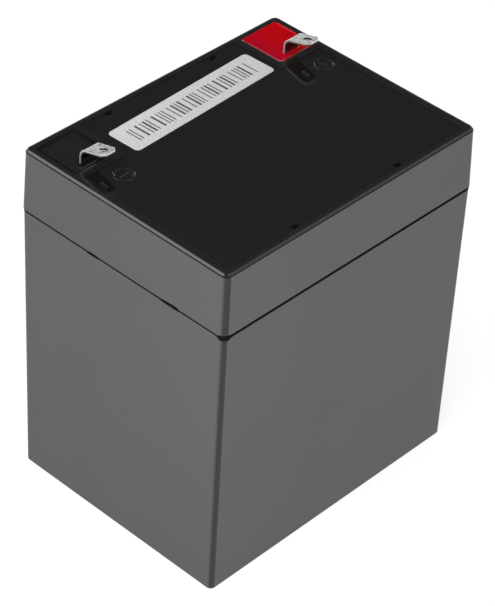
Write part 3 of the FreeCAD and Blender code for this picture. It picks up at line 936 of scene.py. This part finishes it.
# %% [markdown]
# Resin in the seam.
# A section with its two edges cut off is swept round the outline and takes its depth and height
# from the place. A bevelled curve keeps one section all the way, and the band's has to change, so
# it is a mesh of quads like the film. It reaches in behind the lid's lip, where no light shows its
# end.

# %% Resin in the seam
seam_inner_depth = 0.9 * mm
seam_edge = 0.12 * mm


def seam_profile(depth, low, high):
    """Section of the band at one place, as pairs of inset and level, with its edges cut off."""
    edge = min(seam_edge, (high - low) / 4)
    return [(seam_inner_depth, low), (depth + edge, low), (depth + 0.3 * edge, low + 0.3 * edge),
            (depth, low + edge), (depth, high - edge), (depth + 0.3 * edge, high - 0.3 * edge),
            (depth + edge, high), (seam_inner_depth, high)]


def seam_band():
    """The resin that shows between lid and container, all round."""
    sections = []
    for place, normal in seam_spots:
        profile = seam_profile(*seam_shape(place, normal))
        sections.append([(place[0] - normal[0] * inset, place[1] - normal[1] * inset, level)
                         for inset, level in profile])
    return band("seam_band", [list(loop) for loop in zip(*sections)])


seam = link_piece("seam_resin_band", seam_band(), seam_resin)
print("seam faces", len(seam.data.polygons))

# %% [markdown]
# Places on a tab.
# The tabs are strips of sheet, bent over, with a slotted hole near the tip. What a place on one
# looks like depends on where it is on the strip: the wall of the hole, the half of the sheared
# edge that the punch cut and the half that tore, and the inner side of the bend. The faces could be
# sorted by hand after each change of shape. Worked out from the bend's own sizes, they follow it.

# %% Places on a tab
tab_low, tab_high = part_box("positive_tab")
tab_middle_x = (tab_low.x + tab_high.x) / 2
tab_tip_zone = tab_low.y + 1.5 * mm
hole_middle_y = tab_low.y + 2.6 * mm
hole_half_run = 0.5 * mm
hole_reach = 0.76 * mm
blade_slope = math.tan(math.radians(15.5))
blade_start_y = 18.9 * mm
burr_level = tab_high.z - 0.45 * mm
leg_middle_y = 20.8 * mm
bend_middle_radius = 2.5 * mm
bend_y = leg_middle_y - bend_middle_radius
bend_z = 102.7 * mm
side_on = 0.6
facing_down = -0.4


def distance_squared(tree, first, second):
    """The square of a distance from its two legs."""
    return calculate(tree, "ADD", calculate(tree, "MULTIPLY", first, first),
                     calculate(tree, "MULTIPLY", second, second))


def hole_share(tree, place):
    """1 on the wall of the blade's slotted hole, 0 elsewhere."""
    across = calculate(tree, "SUBTRACT", calculate(tree, "ABSOLUTE", place["X"]), tab_middle_x)
    along = calculate(tree, "ABSOLUTE", calculate(tree, "SUBTRACT", place["Y"], hole_middle_y))
    beyond = calculate(tree, "MAXIMUM", calculate(tree, "SUBTRACT", along, hole_half_run), 0.0)
    return calculate(tree, "LESS_THAN", distance_squared(tree, across, beyond), hole_reach ** 2)


def blade_level(tree, place):
    """Height as if the blade lay level at its tip."""
    from_tip = calculate(tree, "SUBTRACT", place["Y"], tab_low.y)
    return calculate(tree, "ADD", place["Z"], calculate(tree, "MULTIPLY", from_tip, blade_slope))


def outer_zone(tree, place):
    """1 on the outer half of the strip's thickness, seen from its bend, 0 on the inner half."""
    along_y = calculate(tree, "SUBTRACT", place["Y"], bend_y)
    along_z = calculate(tree, "SUBTRACT", place["Z"], bend_z)
    from_bend = calculate(tree, "SQRT", distance_squared(tree, along_y, along_z))
    bend = calculate(tree, "SUBTRACT", from_bend, bend_middle_radius)
    leg = calculate(tree, "SUBTRACT", along_y, bend_middle_radius)
    blade = calculate(tree, "SUBTRACT", blade_level(tree, place), burr_level)
    upper = blend_values(tree, calculate(tree, "LESS_THAN", place["Y"], blade_start_y), bend, blade)
    beyond = blend_values(tree, calculate(tree, "LESS_THAN", along_z, 0.0), upper, leg)
    return calculate(tree, "GREATER_THAN", beyond, 0.0)


def sheared_share(tree, place, normal):
    """1 on the strip's cut edges: both sides and the tip."""
    side = calculate(tree, "GREATER_THAN", calculate(tree, "ABSOLUTE", normal["X"]), side_on)
    tip = calculate(tree, "MULTIPLY", calculate(tree, "LESS_THAN", place["Y"], tab_tip_zone),
                    calculate(tree, "LESS_THAN", normal["Y"], -side_on))
    return calculate(tree, "MAXIMUM", side, tip)


def bend_shade_share(tree, place, normal):
    """1 on the inner side of the bend and under the blade, where shade is painted."""
    past_tip = calculate(tree, "GREATER_THAN", place["Y"], tab_tip_zone)
    leg = calculate(tree, "MULTIPLY", past_tip, calculate(tree, "LESS_THAN", normal["Y"], -side_on))
    return calculate(tree, "MAXIMUM", leg, calculate(tree, "LESS_THAN", normal["Z"], facing_down))


print("tab from y", round(tab_low.y / mm, 2), "to", round(tab_high.y / mm, 2), "mm")

# %% [markdown]
# Tinned tabs.
# The tabs are pressed from brass sheet and tinned. The faces are bright and streaked along the
# strip's length, where the sheet was rolled, and mirror the dark top and the white walls. An evenly
# bright metal would read as plastic foil, so noise drawn out along the strip gives the streaks, and
# clouds in the roughness break the mirror image. The cut edge has a bright zone and a dull one, so
# a thin bright outline runs along the outside of the bend. The inner side of the bend and the
# underside of the blade are painted dark, a painted shade, so they show dark over the resin. The
# wall of the hole is dark in its upper half, a painted shade that makes the hole read dark, and
# light in its lower half.

# %% Tinned tabs
streak_stretch = (3.5, 0.7, 0.7)
streak_depth = 0.02 * mm
streak_range = (0.36, 0.60)
tin_colours = ((0.13, 0.13, 0.125, 1.0), (0.62, 0.61, 0.59, 1.0))
cut_colours = ((0.10, 0.10, 0.097, 1.0), (0.62, 0.615, 0.60, 1.0))
# The hole's wall is dark in its upper half, a painted shade that makes the hole read dark, and light in its
# lower half.
hole_wall_shade_and_light = (grey(0.03), grey(0.85))
# Painted shade on the inner side of the bend and under the blade.
tab_painted_shade_colour = 0.13
tin_roughness = (0.10, 0.22)
cut_roughness = 0.75


def tinned_sheet():
    """Tinned brass, with its own look on faces and cut edges, painted dark and light on the hole's wall, and
    painted shade on the inner side.
    """
    material, tree = new_material("tinned_brass")
    position = surface_position(tree)
    place = axes(tree, position)
    normal = axes(tree, surface_normal(tree))
    streaks = noise(tree, stretched(tree, position, streak_stretch), 1.1 * mm, 4.0, 0.65)
    clouds = noise(tree, position, 0.8 * mm, 3.0, 0.6)
    face = blend_colours(tree, spread(tree, streaks, 0.0, 1.0, *streak_range), *tin_colours)
    # Painted shade on the inner side of the bend and under the blade.
    face = blend_colours(tree, bend_shade_share(tree, place, normal), face, grey(tab_painted_shade_colour))
    cut = blend_colours(tree, outer_zone(tree, place), *cut_colours)
    torn = calculate(tree, "LESS_THAN", blade_level(tree, place), burr_level)
    sheared = sheared_share(tree, place, normal)
    colour = blend_colours(tree, sheared, face, cut)
    # The hole's wall: painted shade in its upper half, light in its lower half.
    colour = blend_colours(tree, hole_share(tree, place), colour, blend_colours(tree, torn, *hole_wall_shade_and_light))
    polish = spread(tree, clouds, *tin_roughness)
    finish_surface(tree, Base_Color=colour, Metallic=1.0,
                   Roughness=blend_values(tree, sheared, polish, cut_roughness),
                   Normal=bump(tree, streaks, streak_depth))
    return material


tin = tinned_sheet()
for pole in ("positive", "negative"):
    softened_copy(f"{pole}_tab", f"{pole}_tab_sheet", 0.09 * mm, tin)

# %% [markdown]
# Label paper and ink.
# The label is matt paper, and the bars on it are ink that has worn a little. White paper in
# the same light as black plastic comes out pale grey. A plain colour would look like a sheet of
# plastic, so fibres of a third of a millimetre, finer by steps, mottle the paper and lift it by a
# hundredth. The ink soaks in and is as matt as the paper, with lighter spots where it wore off.

# %% Label paper and ink
paper_colours = (grey(0.313), grey(0.435))
ink_colours = (grey(0.012), grey(0.05))
fibre_depth = 0.01 * mm


def label_paper():
    """Matt paper with fibres."""
    material, tree = new_material("label_paper")
    fibre = noise(tree, surface_position(tree), 0.35 * mm, 5.0, 0.7)
    finish_surface(tree, Base_Color=blend_colours(tree, spread(tree, fibre, 0.0, 1.0), *paper_colours),
                   Roughness=0.55, Normal=bump(tree, fibre, fibre_depth))
    return material


def label_ink():
    """Black ink with lighter, worn spots."""
    material, tree = new_material("label_ink")
    wear = noise(tree, surface_position(tree), 0.25 * mm, 3.0, 0.6)
    finish_surface(tree, Base_Color=blend_colours(tree, spread(tree, wear, 0.0, 1.0), *ink_colours),
                   Roughness=0.5)
    return material


paper = label_paper()
ink = label_ink()
print("paper from", paper_colours[0][0], "to", paper_colours[1][0])

# %% [markdown]
# Label strip.
# It is a strip of paper with rounded corners, stuck on a little askew. A plane would show no edge,
# and the edge is what catches light round a sticker. So the strip is a thin plate over the rounded
# plan, drawn in at the top by a few hundredths of a millimetre. It is drawn about the origin, where
# its sizes are easy to read, and then turned and moved onto the cover.

# %% Label strip
label_turn = math.radians(2.1)
label_length = 50.7 * mm
label_width = 10.45 * mm
label_corner = 1.2 * mm
label_edge = 0.03 * mm
label_low, label_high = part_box("label")
label_top_z = label_high.z - 0.01 * mm


def drawn_in(plan, amount):
    """The plan with each point moved towards its middle."""
    middle = Vector((sum(x for x, y in plan) / len(plan), sum(y for x, y in plan) / len(plan)))
    result = []
    for x, y in plan:
        away = Vector((x, y)) - middle
        result.append(middle + away - away.normalized() * amount)
    return result


def raised_outline(name, plan, low, high, edge):
    """A thin plate over a plan outline, with a softened upper edge."""
    levels = [(plan, low), (plan, high - edge), (drawn_in(plan, 0.3 * edge), high - 0.3 * edge),
              (drawn_in(plan, edge), high)]
    work = bmesh.new()
    rings = [[work.verts.new((x, y, z)) for x, y in outline] for outline, z in levels]
    for lower, upper in zip(rings, rings[1:]):
        for i in range(len(plan)):
            j = (i + 1) % len(plan)
            work.faces.new((lower[i], lower[j], upper[j], upper[i]))
    work.faces.new(rings[-1])
    work.faces.new(list(reversed(rings[0])))
    mesh = keep_mesh(work, name)
    shade_by_angle(mesh)
    return mesh


def put_on_label(piece):
    """Turns and places a piece drawn about the origin onto the label."""
    centre = (label_low + label_high) / 2
    place = Matrix.Translation((centre.x, centre.y, 0.0)) @ Matrix.Rotation(label_turn, 4, "Z")
    piece.data.transform(place)


plan = rounded_loop((-label_length / 2, -label_width / 2), (label_length / 2, label_width / 2), label_corner)
strip = raised_outline("label_strip", plan, label_low.z, label_top_z, label_edge)
put_on_label(link_piece("label_strip", strip, paper, ["label"]))
print("label in mm", round(label_length / mm, 2), "by", round(label_width / mm, 2))

# %% [markdown]
# Bars on the label.
# A row of plain bars runs along the label. An image could carry them, but bars are boxes, so each
# is a flat box just proud of the paper. Widths and gaps follow a short rule that mixes a few of
# each, so the row looks irregular and is the same every run.

# %% Label bars
bar_height = 5.3 * mm
bar_module = 0.34 * mm
bar_widths = (1.0, 1.0, 1.8)
bar_gaps = (2.0, 3.2, 4.4)
bar_row_length = 43.0 * mm
bar_thickness = 0.012 * mm
bar_middle_z = label_high.z - 0.008 * mm


def label_bars():
    """Bars of two widths and gaps of three, from one end of the row to the other."""
    work = bmesh.new()
    x = -bar_row_length / 2
    index = 0
    while x < bar_row_length / 2:
        wide = bar_module * bar_widths[(index * 7 + index // 3) % 3]
        gap = bar_module * bar_gaps[(index * 5 + index // 4) % 3]
        corners = bmesh.ops.create_cube(work, size=1.0)["verts"]
        bmesh.ops.scale(work, vec=(wide, bar_height, bar_thickness), verts=corners)
        bmesh.ops.translate(work, vec=(x + wide / 2, 0.0, bar_middle_z), verts=corners)
        x += wide + gap
        index += 1
    print("bars", index)
    return keep_mesh(work, "label_bars")


put_on_label(link_piece("label_bars", label_bars(), ink))

# %% [markdown]
# Inner pieces, which no outside view shows.
# Each cell holds pasted plates with cast straps and mats of glass fibre. Lead is cast bright and
# goes dull and blotched within days. Paste dries as a porous crust: brown lead dioxide on the
# positive plates, grey sponge lead on the negative ones. The mats are felted from very fine glass,
# so their grain is drawn out sideways. The rubber rings and caps wear a bloom of powder. Five
# separate materials would repeat one recipe, so one function draws them all, from a coarse blotch
# and a fine grain of each material's own size.

# %% Inner pieces
inner_stuffs = {
    "lead": {"dark": (0.16, 0.165, 0.18), "light": (0.34, 0.345, 0.36), "roughness": (0.35, 0.6),
             "metallic": 1.0, "blotch": 3.0 * mm, "grain": 0.25 * mm, "depth": 0.02 * mm},
    "positive_paste": {"dark": (0.045, 0.022, 0.014), "light": (0.11, 0.055, 0.036),
                       "roughness": (0.75, 0.95), "blotch": 2.0 * mm, "grain": 0.3 * mm, "depth": 0.05 * mm},
    "negative_paste": {"dark": (0.14, 0.145, 0.15), "light": (0.25, 0.26, 0.27),
                       "roughness": (0.6, 0.85), "blotch": 2.0 * mm, "grain": 0.3 * mm, "depth": 0.05 * mm},
    "glass_mat": {"dark": (0.68, 0.68, 0.66), "light": (0.86, 0.86, 0.84), "roughness": (0.85, 1.0),
                  "blotch": 4.0 * mm, "grain": 0.12 * mm, "depth": 0.04 * mm, "drawn_out": 5.0},
    "black_rubber": {"dark": (0.02, 0.02, 0.02), "light": (0.05, 0.05, 0.048), "roughness": (0.5, 0.75),
                     "blotch": 1.5 * mm, "grain": 0.1 * mm, "depth": 0.01 * mm},
}


def grained_stuff(name, dark, light, roughness, blotch, grain, depth, metallic=0.0, drawn_out=1.0):
    """A material with coarse blotches and a fine grain, which may be drawn out along Y."""
    material, tree = new_material(name)
    position = surface_position(tree)
    coarse = noise(tree, position, blotch, 3.0)
    fine = noise(tree, stretched(tree, position, (1.0, 1.0 / drawn_out, 1.0)), grain, 5.0, 0.65)
    share = calculate(tree, "ADD", spread(tree, coarse, 0.0, 0.6), spread(tree, fine, 0.0, 0.4))
    shade = blend_colours(tree, share, (*dark, 1.0), (*light, 1.0))
    relief = bump(tree, fine, depth, 1.0, bump(tree, coarse, 2 * depth, 0.6))
    finish_surface(tree, Base_Color=shade, Metallic=metallic, Roughness=spread(tree, fine, *roughness),
                   Normal=relief)
    return material


inner_finishes = {name: grained_stuff(name, **values) for name, values in inner_stuffs.items()}
dressed = 0
for row in frame["record"]["subparts"]:
    slot = row["material_slot"]
    if slot in inner_finishes:
        dress([row["node"]], inner_finishes[slot])
        dressed += 1
print("inner pieces dressed", dressed, "in", len(inner_finishes), "finishes")
